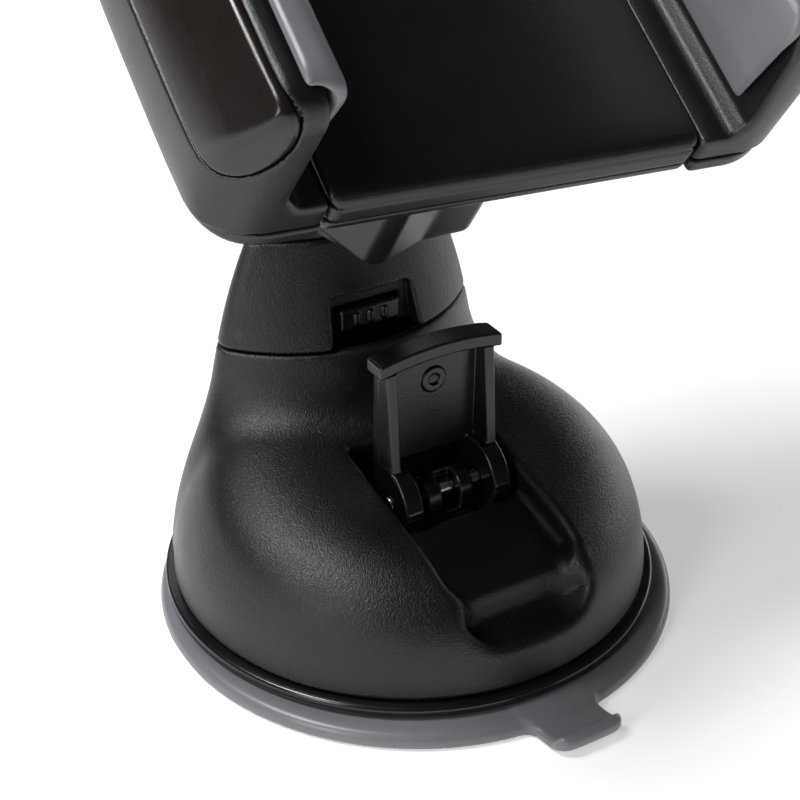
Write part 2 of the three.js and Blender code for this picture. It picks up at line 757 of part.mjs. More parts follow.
const EDGE_DEPTH = 2;
const BODY_LOW = -1;
const BODY_TOP = BODY_LOW + BODY_HEIGHT;
const BACK_HIGH = -FRONT_DEPTH - GAP;
const RACK_V = [PINION_V + 6.1, PINION_V + 9.1];
const GUIDE_V = [14, 18];
const SPRING_V = 9;
const SCREWS = [-1, 1].flatMap((side) => [4, 60].map((v) => [side * 22, v]));
const halfTurn = new THREE.Matrix4()
  .makeTranslation(0, 2 * PINION_V, 0)
  .multiply(new THREE.Matrix4().makeRotationZ(Math.PI));
const halfTurned = (made) => placed(made, halfTurn);
const mirrorX = new THREE.Matrix4().makeScale(-1, 1, 1);
const mirrored = (made) => placed(made, mirrorX);

function cradleFront() {
  const profile = new THREE.Shape();
  profile.moveTo(BODY_LOW, -FRONT_DEPTH);
  profile.lineTo(BODY_TOP, -FRONT_DEPTH);
  profile.lineTo(BODY_TOP, -EDGE_DEPTH);
  profile.quadraticCurveTo(BODY_TOP, 0, BODY_TOP - BODY_EDGE, 0);
  profile.lineTo(BODY_LOW + BODY_EDGE, 0);
  profile.quadraticCurveTo(BODY_LOW, 0, BODY_LOW, -EDGE_DEPTH);
  const plan = roundedPlan(BODY_HALF, BODY_LOW, BODY_TOP, 2.5);
  const outer = acrossX(profile, -BODY_HALF, BODY_HALF).intersect(raised(plan, -9, 1, 4));
  const hollowHigh = -WALL;
  const hollow = block(
    -BODY_HALF + WALL,
    BODY_HALF - WALL,
    BODY_LOW + 3,
    BODY_TOP - 3,
    -FRONT_DEPTH - 1,
    hollowHigh,
  );
  const bosses = SCREWS.map(([x, y]) => rod(2.6, [x, y, -FRONT_DEPTH], [x, y, -1], 16).intersect(outer));
  const bores = SCREWS.map(([x, y]) => rod(1.1, [x, y, -FRONT_DEPTH - 1], [x, y, -1.2], 12));
  const barGap = 0.4;
  const windows = [RACK_V, GUIDE_V].flatMap(([low, high]) => {
    const window = block(18, 40, low - barGap, high + barGap, -FRONT_DEPTH - 1, GEAR_HIGH + barGap);
    return [window, halfTurned(window)];
  });
  return cut(joined(cut(outer, hollow), ...bosses), ...bores, ...windows);
}

function cradleBack() {
  const low = -BODY_DEPTH;
  const plan = roundedPlan(BODY_HALF, BODY_LOW, BODY_TOP, 2.5);
  const edged = shapeOf([
    [BODY_LOW, BACK_HIGH],
    [BODY_LOW + 0.4, low + 1],
    [BODY_LOW + 1.4, low],
    [BODY_LOW + 5, low],
    [BODY_LOW + 7, -PLATEAU_DEPTH],
    [BODY_TOP - 7, -PLATEAU_DEPTH],
    [BODY_TOP - 5, low],
    [BODY_TOP - 1.4, low],
    [BODY_TOP - 0.4, low + 1],
    [BODY_TOP, BACK_HIGH],
  ]);
  const narrowed = shapeOf([
    [-BODY_HALF, BACK_HIGH],
    [-BODY_HALF, low],
    [-BODY_HALF + 3, low],
    [-BODY_HALF + 5, -PLATEAU_DEPTH],
    [BODY_HALF - 5, -PLATEAU_DEPTH],
    [BODY_HALF - 3, low],
    [BODY_HALF, low],
    [BODY_HALF, BACK_HIGH],
  ]);
  const plate = acrossX(edged, -BODY_HALF, BODY_HALF)
    .intersect(raised(plan, -20, 1, 4))
    .intersect(alongY(narrowed, BODY_LOW, BODY_TOP));
  const room = block(-22, 22, BODY_LOW + 7, BODY_TOP - 7, GEAR_FLOOR, 0);
  const channels = [RACK_V, GUIDE_V].flatMap(([barLow, barHigh]) => {
    const channel = block(18, 40, barLow - 0.4, barHigh + 0.4, GEAR_FLOOR, 0);
    return [channel, halfTurned(channel)];
  });
  const tubeTop = FACE_RISE - PLATEAU_DEPTH + 0.5;
  const tube = about([
    [10.5, tubeTop],
    [10.5, -3.5],
    [12.5, -3.5],
    [12.5, tubeTop - 3.5],
    [14.5, tubeTop - 1.4],
    [14.5, tubeTop],
    [10.5, tubeTop],
  ]);
  const slits = [0, 1].map((k) => {
    const slit = block(-20, 20, -0.6, 0.6, BALL_Z - 4, BALL_Z + 6);
    const turn = new THREE.Matrix4().makeRotationZ((Math.PI * (1 + 2 * k)) / 4);
    return placed(slit, turn.setPosition(0, FACE_DROP, 0));
  });
  const axle = rod(1.6, [0, PINION_V, GEAR_FLOOR - 1], [0, PINION_V, GEAR_HIGH + 0.2], 20);
  const axleBore = rod(0.9, [0, PINION_V, GEAR_FLOOR], [0, PINION_V, 0], 12);
  const ribs = [
    block(-21, 18, RACK_V[1] + 0.4, RACK_V[1] + 1.6, GEAR_FLOOR - 1, GEAR_LOW + 1.6),
    block(-4, 18, GUIDE_V[1] + 0.4, GUIDE_V[1] + 1.6, GEAR_FLOOR - 1, GEAR_LOW + 1.6),
  ].flatMap((rib) => [rib, halfTurned(rib)]);
  const pegs = [rod(1.2, [-19, SPRING_V, GEAR_FLOOR - 1], [-19, SPRING_V, -2.4], 12)]
    .flatMap((peg) => [peg, halfTurned(peg)]);
  const screwHoles = SCREWS.flatMap(([x, y]) => [
    rod(1.2, [x, y, -20], [x, y, 0], 12),
    rod(2.4, [x, y, -20], [x, y, low + 1.4], 16),
  ]);
  const hollowed = cut(plate, room, ...channels);
  const body = joined(hollowed, tube, axle, ...ribs, ...pegs);
  return cut(body, ...slits, axleBore, ...screwHoles);
}

function cradleScrew([x, y]) {
  const low = -BODY_DEPTH;
  const head = rod(2.1, [x, y, low], [x, y, low + 1.1], 16);
  const shank = rod(0.9, [x, y, low + 0.5], [x, y, -1.5], 12);
  return joined(head, shank);
}

const TOOTH_TOP = 0.8;
const TOOTH_DEPTH = 1.1;

function pinion() {
  const points = [];
  const pitch = (2 * Math.PI) / PINION_TEETH;
  const corners = [
    [PITCH_RADIUS - TOOTH_DEPTH, 0.19],
    [PITCH_RADIUS, 0.126],
    [PITCH_RADIUS + TOOTH_TOP, 0.05],
  ];
  const around = [...corners.map(([r, a]) => [r, -a]), ...corners.reverse()];
  for (let i = 0; i < PINION_TEETH; i++) {
    for (const [r, a] of around) {
      const turn = pitch * i + a;
      points.push([r * Math.cos(turn), PINION_V + r * Math.sin(turn)]);
    }
  }
  const bore = rod(1.9, [0, PINION_V, -20], [0, PINION_V, 5], 20);
  return cut(raised(shapeOf(points), GEAR_LOW, GEAR_HIGH), bore);
}

function pinionScrew() {
  const seat = GEAR_HIGH + 0.3;
  const head = rod(2.6, [0, PINION_V, seat], [0, PINION_V, seat + 0.8], 16);
  const shank = rod(0.7, [0, PINION_V, GEAR_FLOOR + 0.4], [0, PINION_V, seat + 0.5], 12);
  return joined(head, shank);
}

// The two bars of the right arm, which slide in the cradle: a toothed one and a plain one.
function armBars() {
  const pitch = Math.PI;
  const rootV = RACK_V[0];
  const tipV = PINION_V + PITCH_RADIUS - TOOTH_TOP;
  const halfRoot = 0.93;
  const halfTip = 0.27;
  const points = [[ARM_START + 3, RACK_V[1]], [-19, RACK_V[1]], [-19, rootV]];
  for (let i = -5; i <= 1; i++) {
    const x = pitch * i;
    points.push([x - halfRoot, rootV], [x - halfTip, tipV]);
    points.push([x + halfTip, tipV], [x + halfRoot, rootV]);
  }
  points.push([ARM_START + 3, rootV]);
  const rack = raised(shapeOf(points), GEAR_LOW, GEAR_HIGH);
  const guide = block(3, ARM_START + 3, ...GUIDE_V, GEAR_LOW, GEAR_HIGH);
  const lug = block(4.5, 7, SPRING_V - 1, GUIDE_V[0] + 1, GEAR_LOW + 0.2, GEAR_HIGH);
  return joined(rack, guide, lug);
}

// The right arm's section, across and out of the face.
const ARM_SECTION = [
  [ARM_START, -FRONT_DEPTH],
  [ARM_START, -0.9],
  [31.6, -0.8],
  [32.6, 0.6],
  [33.3, 1.4],
  [33.4, 2.6],
  [32.2, 15.8],
  [32.6, 18.4],
  [34, 19.6],
  [36.4, 19.6],
  [38.3, 18],
  [42.2, 11],
  [44, 5],
  [44.4, 1],
  [44.2, -2],
  [43.4, -FRONT_DEPTH],
];
const ARM_HOLLOW = [
  [ARM_START + 2, -FRONT_DEPTH - 1],
  [ARM_START + 2, -2.8],
  [32.4, -2.6],
  [35.3, 1],
  [34.3, 15.8],
  [35.4, 17.5],
  [36.6, 16.9],
  [40, 10.2],
  [41.7, 4.6],
  [42, 1],
  [41.7, -2],
  [40.9, -FRONT_DEPTH - 1],
];
const PAD_SECTION = [
  [33.1, 3],
  [32.1, 3],
  [31.1, 8],
  [30.6, 15],
  [30.5, 19],
  [31.3, 20.8],
  [33.2, 21.7],
  [35.6, 21.4],
  [36, 20.4],
  [35.6, 20],
  [33.9, 20],
  [32.3, 18.8],
  [31.9, 15.8],
];
const ARM_TOP = BODY_LOW + ARM_LENGTH;
const INLAY_V = BODY_LOW + ARM_LENGTH / 2;

// A section across the arm, drawn along it.
function alongV(points, low, high) {
  return alongY(shapeOf(points), low, high);
}

function armPlan(inset, radius) {
  const shape = new THREE.Shape();
  const outer = 44.6 - inset;
  const low = BODY_LOW + inset;
  const high = ARM_TOP - inset;
  shape.moveTo(ARM_START, low);
  shape.lineTo(outer - radius, low);
  shape.quadraticCurveTo(outer, low, outer, low + radius);
  shape.lineTo(outer, high - radius);
  shape.quadraticCurveTo(outer, high, outer - radius, high);
  shape.lineTo(ARM_START, high);
  return shape;
}

// The oval strip of the arm's outer face that the inlay fills, to a depth under the surface.
function ovalStrip(depth, extra) {
  const face = [[44.5, 0.6], [44.1, 5], [42.3, 11], [38.6, 17.6]];
  const under = face.map(([x, z]) => [x - depth, z - depth * 0.35]).reverse();
  const strip = alongV([...face, ...under], INLAY_V - 29, INLAY_V + 29);
  const oval = new THREE.Shape();
  oval.absellipse(INLAY_V, 9.2, 24.5 + extra, 7.6 + extra, 0, 2 * Math.PI, false);
  return strip.intersect(acrossX(oval, 30, 50));
}

function armBoss(radius, low, high) {
  return rod(radius, [34.5, 9, low], [34.5, 9, high], 16);
}

// The arm seen from its side, with its tip's corners rounded off.
function armEnd() {
  const shape = new THREE.Shape();
  const radius = 6;
  const tip = 19.7;
  shape.moveTo(BODY_LOW, -FRONT_DEPTH);
  shape.lineTo(ARM_TOP, -FRONT_DEPTH);
  shape.lineTo(ARM_TOP, tip - radius);
  shape.quadraticCurveTo(ARM_TOP, tip, ARM_TOP - radius, tip);
  shape.lineTo(BODY_LOW + radius, tip);
  shape.quadraticCurveTo(BODY_LOW, tip, BODY_LOW, tip - radius);
  return shape;
}

function armShell() {
  const outer = alongV(ARM_SECTION, BODY_LOW, ARM_TOP);
  const hollow = alongV(ARM_HOLLOW, BODY_LOW + 2.4, ARM_TOP - 2.4);
  const trimmed = outer.intersect(raised(armPlan(0, 9), -20, 30, 5));
  const room = hollow.intersect(raised(armPlan(2.2, 7), -20, 30, 4));
  const boss = armBoss(2.6, -FRONT_DEPTH, 0.4);
  const rounded = joined(cut(trimmed, room), boss).intersect(acrossX(armEnd(), 20, 50));
  return cut(rounded, armBoss(1.1, -20, -1.6), ovalStrip(1.1, 0.3));
}

function armCover() {
  const plan = raised(armPlan(0, 9), -BODY_DEPTH, BACK_HIGH, 5);
  const barChannels = [RACK_V, GUIDE_V].map(([low, high]) =>
    block(0, ARM_START + 3.4, low - GAP, high + GAP, GEAR_FLOOR, 0),
  );
  const edge = alongV([
    [ARM_START, BACK_HIGH],
    [ARM_START, -BODY_DEPTH],
    [39.6, -BODY_DEPTH],
    [43.2, BACK_HIGH],
  ], BODY_LOW, ARM_TOP);
  const holes = [armBoss(1.2, -20, 0), armBoss(2.4, -20, -BODY_DEPTH + 1.4)];
  const channels = barChannels.flatMap((channel) => [channel, mirrored(halfTurned(channel))]);
  return cut(plan.intersect(edge), ...holes, ...channels);
}

function armScrew() {
  const low = -BODY_DEPTH;
  return joined(armBoss(2.1, low, low + 1.1), armBoss(0.9, low + 0.5, -2));
}

function armPad() {
  return alongV(PAD_SECTION, 1.5, ARM_TOP - 2.5);
}

function armSpring() {
  const start = -17.4;
  const length = 4.5 - GAP - 0.5 - start;
  const turn = new THREE.Matrix4().makeRotationY(Math.PI / 2);
  turn.setPosition(start, SPRING_V, (GEAR_FLOOR - WALL) / 2);
  return placed(coil(1.75, 0.22, length, 8, 7), turn);
}

piece(cradle, "socket_liner", socketLiner(), "palePlastic");
piece(cradle, "lock_nut", lockNut(), "blackPlastic");
piece(cradle, "cradle_front", cradleFront(), "blackPlastic");
piece(cradle, "cradle_back", cradleBack(), "blackPlastic");
SCREWS.forEach((place, i) => {
  piece(cradle, `cradle_screw_${i + 1}`, cradleScrew(place), "steel");
});
piece(cradle, "pinion", pinion(), "palePlastic");
piece(cradle, "pinion_screw", pinionScrew(), "steel");
const bars = armBars();
const shell = armShell();
piece(cradle, "right_arm", joined(shell, bars), "blackPlastic");
piece(cradle, "left_arm", joined(mirrored(shell), halfTurned(bars)), "blackPlastic");
for (const [side, hand] of [["right", (made) => made], ["left", mirrored]]) {
  piece(cradle, `${side}_arm_cover`, hand(armCover()), "blackPlastic");
  piece(cradle, `${side}_arm_screw`, hand(armScrew()), "steel");
  piece(cradle, `${side}_pad`, hand(armPad()), "greyGel");
  piece(cradle, `${side}_inlay`, hand(ovalStrip(0.8, 0)), "glossPlastic");
}
piece(cradle, "right_arm_spring", armSpring(), "steel");
piece(cradle, "left_arm_spring", halfTurned(armSpring()), "steel");

export default mount;
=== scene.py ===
import bpy
import math
import numpy as np
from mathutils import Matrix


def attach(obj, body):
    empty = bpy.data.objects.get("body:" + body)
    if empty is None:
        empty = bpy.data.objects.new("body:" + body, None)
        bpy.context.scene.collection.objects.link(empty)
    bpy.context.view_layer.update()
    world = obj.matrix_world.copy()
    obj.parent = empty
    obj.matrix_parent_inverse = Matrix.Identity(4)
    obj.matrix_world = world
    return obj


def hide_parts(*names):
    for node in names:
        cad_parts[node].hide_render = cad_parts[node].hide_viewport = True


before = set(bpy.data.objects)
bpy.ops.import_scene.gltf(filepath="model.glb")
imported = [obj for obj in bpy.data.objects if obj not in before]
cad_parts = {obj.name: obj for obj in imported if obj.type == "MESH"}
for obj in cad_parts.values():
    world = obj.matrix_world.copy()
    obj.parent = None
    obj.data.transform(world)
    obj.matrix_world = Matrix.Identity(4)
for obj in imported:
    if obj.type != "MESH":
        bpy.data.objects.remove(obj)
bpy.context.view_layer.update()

import openvdb as vdb
from mathutils import Matrix, Vector

# Every shape below is in millimetres, X right, Y back and Z up, and becomes metres in add_mesh().
# A solid is a signed-distance field: a function of x, y and z that is negative inside the material.
MM = 0.001

# ---- driving dimensions ----
# The housing, from its lower edge to the seam under the collar, and the collar above that.
RIM_Z, SEAM_Z, COLLAR_TOP = 4.9, 38.3, 54.5
DOME_Y, DOME_RADIUS, DOME_HEIGHT, DOME_POWER = 2, 36.8, 31, 2.6
NECK_Y, NECK_WIDTH, NECK_DEPTH = 21.6, 22.6, 11.7
WALL = 2
GEL_RADIUS = 40

# The lever's pin, and how far the lever swings.
PIN_Y, PIN_Z = -7.3, 21.8
LEVER_SWING = math.radians(104)

# The ball's centre, in the base's frame and in the cradle's.
BALL = np.array([0.0, 12.0, 70.0])
BALL_RADIUS = 8.5
BALL_IN_CRADLE = np.array([0, 27, -31.4])

# The cradle's frame is u across, v up along its face and n out of the face.
BODY_LOW, BODY_TOP, BODY_HALF = -1.0, 65.0, 27
FRONT_N, BACK_N, SCREW_N = -4.6, -4.9, -7.2
SCREWS = [(side * 22, v) for side in (-1, 1) for v in (4, 60)]

# The arms: their middle and half height along v, their outer side, and their screw. The left arm's
# bars lie as the right arm's do after half a turn about v = TURN_V / 2.
ARM_MID, ARM_HALF, ARM_OUT, TURN_V = 28, 29, 43.4, 64
ARM_SCREW = (34.5, 9)


# ---- fields ----
def smin(a, b, k):
    near = np.maximum(k - np.abs(a - b), 0) / k
    return np.minimum(a, b) - near * near * k / 4


def smax(a, b, k):
    return -smin(-a, -b, k)


def union(fields, k):
    out = fields[0]
    for f in fields[1:]:
        out = smin(out, f, k)
    return out


def block(x, y, z, x0, x1, y0, y1, z0, z1, r=0.3):
    qx = np.abs(x - (x0 + x1) / 2) - (x1 - x0) / 2 + r
    qy = np.abs(y - (y0 + y1) / 2) - (y1 - y0) / 2 + r
    qz = np.abs(z - (z0 + z1) / 2) - (z1 - z0) / 2 + r
    outside = np.sqrt(np.maximum(qx, 0) ** 2 + np.maximum(qy, 0) ** 2 + np.maximum(qz, 0) ** 2)
    return outside + np.minimum(np.maximum(np.maximum(qx, qy), qz), 0) - r


def rod(x, y, z, at_x, at_y, radius, z0, z1, k=0.4):
    side = np.hypot(x - at_x, y - at_y) - radius
    return smax(side, np.abs(z - (z0 + z1) / 2) - (z1 - z0) / 2, k)


def rounded(past_a, past_b, radius):
    """The distance to a rounded corner, from how far a point is past its two straight sides."""
    a, b = past_a + radius, past_b + radius
    return np.hypot(np.maximum(a, 0), np.maximum(b, 0)) + np.minimum(np.maximum(a, b), 0) - radius


def filleted(points, radius, steps=5):
    """A closed outline with each corner rounded, as far as its edges allow."""
    pts = np.array(points, float)
    out = []
    for i, p in enumerate(pts):
        before, after = pts[i - 1] - p, pts[(i + 1) % len(pts)] - p
        a = p + before * min(radius / np.hypot(*before), 0.5)
        b = p + after * min(radius / np.hypot(*after), 0.5)
        for t in np.linspace(0, 1, steps):
            out.append((1 - t) ** 2 * a + 2 * t * (1 - t) * p + t * t * b)
    kept = [p for i, p in enumerate(out) if np.hypot(*(p - out[i - 1])) > 1e-6]
    return np.array(kept)


def arc(radius, start, end, count, centre=(0, 0)):
    """Points on a round stretch of an outline, with its angles in radians."""
    return [(centre[0] + radius * math.cos(a), centre[1] + radius * math.sin(a))
            for a in np.linspace(start, end, count)]


def polygon(points):
    """The signed distance to a closed outline in a plane."""
    pts = np.array(points, float)
    following = np.roll(pts, -1, 0)

    def field(x, y):
        x, y = np.broadcast_arrays(x, y)
        best = np.full(x.shape, 1e9)
        inside = np.zeros(x.shape, bool)
        for (ax, ay), (bx, by) in zip(pts, following):
            ex, ey = bx - ax, by - ay
            t = np.clip(((x - ax) * ex + (y - ay) * ey) / (ex * ex + ey * ey), 0, 1)
            best = np.minimum(best, (x - ax - t * ex) ** 2 + (y - ay - t * ey) ** 2)
            rise = ey if ey else 1e-12
            inside ^= ((ay > y) != (by > y)) & (x < ex * (y - ay) / rise + ax)
        return np.where(inside, -1, 1) * np.sqrt(best)

    return field


# ---- frames ----
def turn(axis, degrees):
    return np.array(Matrix.Rotation(math.radians(degrees), 3, axis))


CRADLE = turn("Z", 3) @ turn("X", 33) @ turn("Z", -6.3)
CRADLE_OFFSET = BALL - CRADLE @ BALL_IN_CRADLE
STUD = turn("X", 28)


def to_world(points):
    return points


def to_cradle(points):
    return points @ CRADLE.T + CRADLE_OFFSET


def to_stud(points):
    """From a frame along the ball stud, with the ball's centre at its origin."""
    return points @ STUD.T + BALL


def about_ball(points):
    """From a frame that is parallel to the cradle's, with the ball's centre at its origin."""
    return to_cradle(points + BALL_IN_CRADLE)


def along_pin(points):
    """From a frame along the lever's pin, with its axis as local Z."""
    return np.stack([points[:, 2], points[:, 0] + PIN_Y, points[:, 1] + PIN_Z], 1)


# ---- meshes ----
def add_mesh(name, points, faces, body, finish, node, place=to_world, normals=None):
    """A piece that rides on a body and stands for a node of the frame."""
    mesh = bpy.data.meshes.new(name)
    mesh.from_pydata((place(points) * MM).tolist(), [], faces)
    mesh.validate()
    mesh.polygons.foreach_set("use_smooth", np.ones(len(mesh.polygons), bool))
    if normals is not None:
        turned = place(normals) - place(np.zeros((1, 3)))
        mesh.normals_split_custom_set_from_vertices(turned.tolist())
    mesh.materials.append(finish)
    piece = bpy.data.objects.new(name, mesh)
    bpy.context.scene.collection.objects.link(piece)
    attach(piece, body)
    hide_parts(node)
    return piece


def gradient(field, p):
    h = 0.02
    out = np.empty_like(p)
    for i in range(3):
        step = np.zeros(3)
        step[i] = h
        out[:, i] = (field(*(p + step).T) - field(*(p - step).T)) / (2 * h)
    return out


def polygonised(field, low, high, step):
    """The surface where the field is 0: its points, quads and normals."""
    low = np.array(low, float) - 2 * step
    count = np.ceil((np.array(high, float) + 2 * step - low) / step).astype(int) + 1
    axes = [low[i] + step * np.arange(count[i]) for i in range(3)]
    values = field(*np.meshgrid(*axes, indexing="ij", sparse=True))
    volume = vdb.FloatGrid(background=1.0)
    volume.copyFromArray(np.ascontiguousarray(values, np.float32))
    points, quads = volume.convertToQuads(isovalue=0.0)
    points = low + points.astype(float) * step
    start = points.copy()
    # Each point moves along the gradient on to the surface, and by 0.6 of a step at most.
    for _ in range(3):
        slope = gradient(field, points)
        size = np.maximum((slope**2).sum(1), 0.05)
        points = points - slope * (field(*points.T) / size)[:, None]
        points = start + np.clip(points - start, -0.6 * step, 0.6 * step)
    normals = gradient(field, points)
    normals /= np.maximum(np.linalg.norm(normals, axis=1), 1e-9)[:, None]
    return points, quads.astype(int), normals


def add_field(name, field, low, high, step, body, finish, node, place=to_world):
    points, quads, normals = polygonised(field, low, high, step)
    return add_mesh(name, points, quads.tolist(), body, finish, node, place, normals)


def strips(rings, sides):
    """The quads between neighbouring rings of points, from the last ring on to the first one too."""
    faces = []
    for j in range(rings):
        k = (j + 1) % rings
        for i in range(sides):
            m = (i + 1) % sides
            faces.append([j * sides + i, k * sides + i, k * sides + m, j * sides + m])
    return faces


def add_turned(name, outline, body, finish, node, place=to_world, centre=(0, 0), sides=128, radius=0.4):
    """A piece turned about an upright axis from its closed outline of (r, z) points."""
    ring = filleted(outline, radius, 4)
    turns = np.arange(sides) * 2 * math.pi / sides
    points = np.array([[centre[0] + r * math.cos(a), centre[1] + r * math.sin(a), z]
                       for a in turns for r, z in ring])
    faces = strips(sides, len(ring))
    area = (ring[:, 0] * np.roll(ring[:, 1], -1) - np.roll(ring[:, 0], -1) * ring[:, 1]).sum()
    if area < 0:
        faces = [face[::-1] for face in faces]
    return add_mesh(name, points, faces, body, finish, node, place)


def add_loft(name, rings, body, finish, node):
    """A closed surface through a loop of rings."""
    faces = [face[::-1] for face in strips(len(rings), len(rings[0]))]
    return add_mesh(name, np.concatenate(rings), faces, body, finish, node)


# ---- materials ----
def look(name, slot, colour, tint, roughness, spread, grain, depth, wear=0.0, **shader):
    """Moulded material with a tint in soft patches, rubbed edges and uneven gloss.

    The grain is 1 / grain metres wide and depth metres deep. What is left goes to the shader's sockets.
    """
    mat = bpy.data.materials.new(name)
    mat["slot"] = slot
    mat.use_nodes = True
    tree = mat.node_tree
    nodes, links = tree.nodes, tree.links
    bsdf = nodes["Principled BSDF"]
    for socket, value in shader.items():
        bsdf.inputs[socket.replace("_", " ")].default_value = value
    coords = nodes.new("ShaderNodeTexCoord").outputs["Object"]

    def noise(scale, detail, rough=0.55):
        node = nodes.new("ShaderNodeTexNoise")
        node.inputs["Scale"].default_value = scale
        node.inputs["Detail"].default_value = detail
        node.inputs["Roughness"].default_value = rough
        links.new(coords, node.inputs["Vector"])
        return node.outputs["Fac"]

    def mapped(value, low, high, to_low, to_high):
        node = nodes.new("ShaderNodeMapRange")
        for socket, number in zip(node.inputs[1:5], (low, high, to_low, to_high)):
            socket.default_value = number
        links.new(value, node.inputs[0])
        return node.outputs[0]

    def mixed(factor, a, b):
        """From a, a colour or a socket, to b, a colour."""
        node = nodes.new("ShaderNodeMix")
        node.data_type = "RGBA"
        if isinstance(a, tuple):
            node.inputs[6].default_value = (*a, 1)
        else:
            links.new(a, node.inputs[6])
        node.inputs[7].default_value = (*b, 1)
        links.new(factor, node.inputs[0])
        return node.outputs[2]

    patches = mapped(noise(45, 3), 0.35, 0.65, 0, 1)
    base = mixed(patches, colour, tint)
    if wear:
        pointiness = nodes.new("ShaderNodeNewGeometry").outputs["Pointiness"]
        rubbed = mapped(pointiness, 0.515, 0.56, 0, wear)
        base = mixed(rubbed, base, tuple(min(1, c * 4 + 0.02) for c in colour))
    links.new(base, bsdf.inputs["Base Color"])
    smudge = mapped(noise(110, 4, 0.6), 0.3, 0.7, roughness - spread, roughness + spread)
    links.new(smudge, bsdf.inputs["Roughness"])
    fine = noise(grain, 2)
    coarse = noise(grain * 0.32, 2)
    both = nodes.new("ShaderNodeMath")
    both.operation = "MULTIPLY_ADD"
    links.new(coarse, both.inputs[0])
    both.inputs[1].default_value = 0.4
    links.new(fine, both.inputs[2])
    bump = nodes.new("ShaderNodeBump")
    bump.inputs["Strength"].default_value = 1.0
    bump.inputs["Distance"].default_value = depth
    links.new(both.outputs[0], bump.inputs["Height"])
    links.new(bump.outputs["Normal"], bsdf.inputs["Normal"])
    return mat


TEXTURED = look("textured_abs", "black_plastic", (0.0035, 0.0035, 0.004), (0.005, 0.005, 0.0056),
                roughness=0.33, spread=0.05, grain=4300, depth=0.00011, wear=0.5)
SATIN = look("satin_abs", "black_plastic", (0.0045, 0.0045, 0.005), (0.006, 0.006, 0.0066),
             roughness=0.33, spread=0.04, grain=5200, depth=0.00004, wear=0.5)
GLOSSY = look("polished_abs", "black_plastic", (0.003, 0.003, 0.0035), (0.0045, 0.0045, 0.005),
              roughness=0.24, spread=0.06, grain=3600, depth=0.00003, wear=0.4)
INLAY = look("gloss_inlay", "gloss_inlay", (0.011, 0.008, 0.007), (0.016, 0.011, 0.009),
             roughness=0.26, spread=0.05, grain=4600, depth=0.000012)
RUBBER = look("black_rubber", "black_rubber", (0.006, 0.006, 0.007), (0.010, 0.010, 0.011),
              roughness=0.2, spread=0.06, grain=1200, depth=0.00001)
GEL = look("grey_gel", "grey_gel", (0.17, 0.17, 0.188), (0.20, 0.20, 0.22),
           roughness=0.34, spread=0.05, grain=1500, depth=0.000012,
           Subsurface_Weight=0.15, Subsurface_Scale=0.004)
PALE = look("pale_plastic", "pale_plastic", (0.42, 0.44, 0.50), (0.50, 0.52, 0.58),
            roughness=0.4, spread=0.05, grain=2200, depth=0.00002,
            Subsurface_Weight=0.1, Subsurface_Scale=0.002)
STEEL = look("bright_steel", "steel", (0.52, 0.53, 0.55), (0.62, 0.63, 0.65),
             roughness=0.24, spread=0.08, grain=1800, depth=0.000012, Metallic=1.0)


# ---- the housing's outer form ----
def neck(x, y, z):
    """An almond in plan, of two arcs that meet at its sides, which is narrower and thinner higher up."""
    up = z - SEAM_Z
    rise = np.maximum(up, 0)
    fall = np.minimum(up, 0)
    width = NECK_WIDTH - 0.2 * up - 0.007 * rise * rise
    depth = NECK_DEPTH - 0.33 * rise + 4.4 * (1 - np.exp(0.33 * fall / 4.4))
    radius = (width * width + depth * depth) / (2 * depth)
    front = np.hypot(x, y - NECK_Y - radius + depth) - radius
    back = np.hypot(x, y - NECK_Y + radius - depth) - radius
    return smax(front, back, 3)


def dome(x, y, z):
    """A superellipse turned about an upright axis, upright at the rim."""
    r = np.hypot(x, y - DOME_Y) / DOME_RADIUS
    h = np.maximum(z - RIM_Z, 0) / DOME_HEIGHT
    level = r**DOME_POWER + h * h - 1
    steep = np.hypot(DOME_POWER * r**(DOME_POWER - 1) / DOME_RADIUS, 2 * h / DOME_HEIGHT)
    return level / np.maximum(steep, 0.02)


def housing(x, y, z):
    """The dome, cut by a plane that rises to the back, and the neck that grows out of it."""
    rise = 0.22
    slope = (z - 26.8 - rise * y) / math.hypot(1, rise)
    return smin(smax(dome(x, y, z), slope, 7), neck(x, y, z), 6)


# ---- base ----
POCKET_SIDE = polygon(filleted([
    (2.5, 60), (2.5, 20), (-12.5, 20), (-26, 16.9), (-27, 15.9),
    (-27.6, 12.8), (-28.6, 12), (-60, 9), (-60, 60)], 1.2))
TAB_PLAN = polygon(filleted([(-5.4, -34), (-4.5, -46.5), (6.7, -46.5), (5.2, -34)], 3.2, 8))
STEM_SIDE = polygon(filleted([(-10.7, 3.4), (-3.9, 3.4), (-4.3, 21.8)]
                             + arc(3, 0.2, math.pi - 0.2, 12, (PIN_Y, PIN_Z)) + [(-10.3, 21.8)], 0.4))


def pocket(x, y, z):
    """The lever's pocket, with softer edges towards the front."""
    front = np.clip((-24 - y) / 4, 0, 1)
    return smax(np.abs(x) - 10.8, POCKET_SIDE(y, z), 1.6 + 5 * front)


def cover_field(x, y, z):
    outer = housing(x, y, z)
    tub = block(x, y, z, -12.4, 12.4, -60, 4.5, 10.2, 60)
    shell = smax(outer, -smax(outer + WALL, -tub, 0.5), 0.5)
    shell = smax(shell, z - (SEAM_Z - 0.3), 0.7)
    shell = smax(shell, RIM_Z - z, 0.8)
    latch = block(x, y, z, -7, 7, 21.5, 26.5, 34, 47.5)
    shell = smax(smin(shell, latch, 0.3), -pocket(x, y, z), 1.4)
    knuckle_room = block(x, y, z, -9.8, 9.8, -12.5, 2.5, 0, 60, 1.0)
    return smax(shell, -knuckle_room, 0.8)


